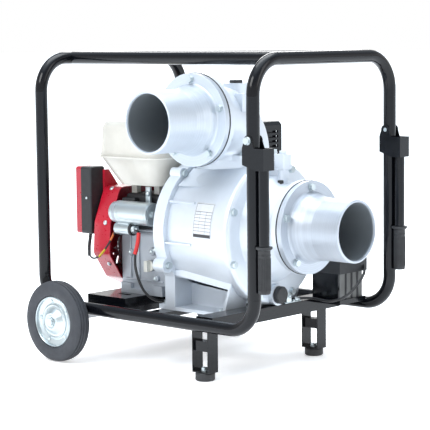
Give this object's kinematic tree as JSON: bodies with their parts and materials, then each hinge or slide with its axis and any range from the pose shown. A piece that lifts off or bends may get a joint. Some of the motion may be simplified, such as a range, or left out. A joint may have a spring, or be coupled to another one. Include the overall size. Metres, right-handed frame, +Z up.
{
  "type": "gas engine trash pump",
  "caption": "Wheeled tube-frame trash pump with a petrol engine, electric start, 6 inch suction and discharge hose tails and fold-down lifting handles",
  "frame": {"origin": "on the ground under the middle of the overall box", "axes": "+X along the pump shaft towards the suction port, +Y away from the discharge port, +Z up"},
  "size_m": [0.8389, 0.675, 0.7879],
  "materials": {
    "frame_black": "gloss black powder coat over steel tube",
    "cast_silver": "silver painted aluminium castings",
    "machined_alu": "turned aluminium hose tails",
    "crankcase_grey": "raw die cast aluminium",
    "zinc": "bright zinc plated steel",
    "steel": "machined steel",
    "tyre_rubber": "solid rubber tyre",
    "black_rubber": "black moulded rubber",
    "red_paint": "gloss red paint",
    "tank_white": "gloss warm white paint",
    "black_plastic": "black moulded plastic",
    "cable_black": "black cable sheath",
    "battery_grey": "grey battery case"
  },
  "bodies": {
    "root": {"air_cleaner": "black_plastic", "axle": "steel", "axle_caps": "zinc", "battery": "battery_grey", "battery_cover": "black_plastic", "battery_tray": "frame_black", "carburettor": "crankcase_grey", "control_box": "black_plastic", "control_box_cover": "red_paint", "control_harness": "cable_black", "crankcase": "crankcase_grey", "cylinder": "crankcase_grey", "cylinder_head": "crankcase_grey", "discharge_elbow": "cast_silver", "discharge_tail": "machined_alu", "engine_platform": "frame_black", "fan_shroud": "red_paint", "foot_brackets": "frame_black", "frame_weldments": "frame_black", "front_cover": "cast_silver", "front_crossmember": "frame_black", "fuel_tank": "tank_white", "gaskets": "black_rubber", "hex_bolts": "zinc", "hoop_front": "frame_black", "hoop_rear": "frame_black", "muffler": "frame_black", "muffler_guard": "frame_black", "pump_drum": "cast_silver", "rail_far": "frame_black", "rail_near": "frame_black", "rear_plate": "cast_silver", "recoil_cover": "red_paint", "rubber_feet": "black_rubber", "shaft_seal": "steel", "starter_cable": "cable_black", "starter_motor": "zinc", "suction_tail": "machined_alu", "top_rails": "frame_black", "volute": "cast_silver"},
    "wheel_near": {"tyre_near": "tyre_rubber", "rim_near": "zinc"},
    "wheel_far": {"tyre_far": "tyre_rubber", "rim_far": "zinc"},
    "handle_near": {"handle_arm_near": "frame_black", "handle_grip_near": "black_rubber"},
    "handle_far": {"handle_arm_far": "frame_black", "handle_grip_far": "black_rubber"},
    "rotor": {"crankshaft": "steel", "flywheel": "steel", "impeller": "steel"},
    "piston_body": {"piston": "steel"},
    "flap": {"valve_flap": "black_rubber"},
    "key": {"ignition_key": "black_plastic"},
    "throttle": {"throttle_lever": "zinc"},
    "recoil": {"recoil_grip": "black_plastic"},
    "tank_cap": {"fuel_cap": "black_plastic"},
    "priming": {"priming_cap": "black_plastic"},
    "drain": {"drain_cap": "black_plastic"},
    "oil_stick": {"dipstick": "black_plastic"}
  },
  "joints": [
    {"name": "wheel_near_spin", "type": "hinge", "parent": "root", "child": "wheel_near", "pos_m": [-0.3085, -0.3075, 0.104], "axis": [0, 1, 0], "continuous": true},
    {"name": "wheel_far_spin", "type": "hinge", "parent": "root", "child": "wheel_far", "pos_m": [-0.3085, 0.3075, 0.104], "axis": [0, 1, 0], "continuous": true},
    {"name": "handle_near_swing", "type": "hinge", "parent": "root", "child": "handle_near", "pos_m": [0.3215, -0.2625, 0.586], "axis": [0, -1, 0], "range_deg": [0, 90]},
    {"name": "handle_far_swing", "type": "hinge", "parent": "root", "child": "handle_far", "pos_m": [0.3215, 0.2625, 0.586], "axis": [0, -1, 0], "range_deg": [0, 90]},
    {"name": "shaft_spin", "type": "hinge", "parent": "root", "child": "rotor", "pos_m": [0, 0, 0.268], "axis": [1, 0, 0], "continuous": true},
    {"name": "piston_stroke", "type": "slide", "parent": "root", "child": "piston_body", "axis": [0, 0.9063, 0.4226], "range_m": [-0.018, 0.018]},
    {"name": "clack_valve_swing", "type": "hinge", "parent": "root", "child": "flap", "pos_m": [0.2325, 0, 0.427], "axis": [0, 1, 0], "range_deg": [0, 45]},
    {"name": "key_turn", "type": "hinge", "parent": "root", "child": "key", "pos_m": [-0.3997, -0.128, 0.372], "axis": [-1, 0, 0], "range_deg": [0, 90]},
    {"name": "throttle_swing", "type": "hinge", "parent": "root", "child": "throttle", "pos_m": [-0.278, 0.204, 0.384], "axis": [0, 1, 0], "range_deg": [-25, 25]},
    {"name": "recoil_pull", "type": "slide", "parent": "root", "child": "recoil", "axis": [0, 0.7071, 0.7071], "range_m": [0, 0.04], "stiffness_N_per_m": 200, "springref_m": -0.01},
    {"name": "fuel_cap_turn", "type": "hinge", "parent": "root", "child": "tank_cap", "pos_m": [-0.19, 0.04, 0.613], "axis": [0, 0, 1], "range_deg": [0, 90]},
    {"name": "priming_cap_turn", "type": "hinge", "parent": "root", "child": "priming", "pos_m": [0.0365, 0, 0.707], "axis": [0, 0, 1], "continuous": true},
    {"name": "drain_cap_turn", "type": "hinge", "parent": "root", "child": "drain", "pos_m": [0.174, -0.001, 0.181], "axis": [1, 0, 0], "continuous": true},
    {"name": "dipstick_turn", "type": "hinge", "parent": "root", "child": "oil_stick", "pos_m": [-0.16, -0.112, 0.238], "axis": [0, -1, 0], "continuous": true}
  ]
}
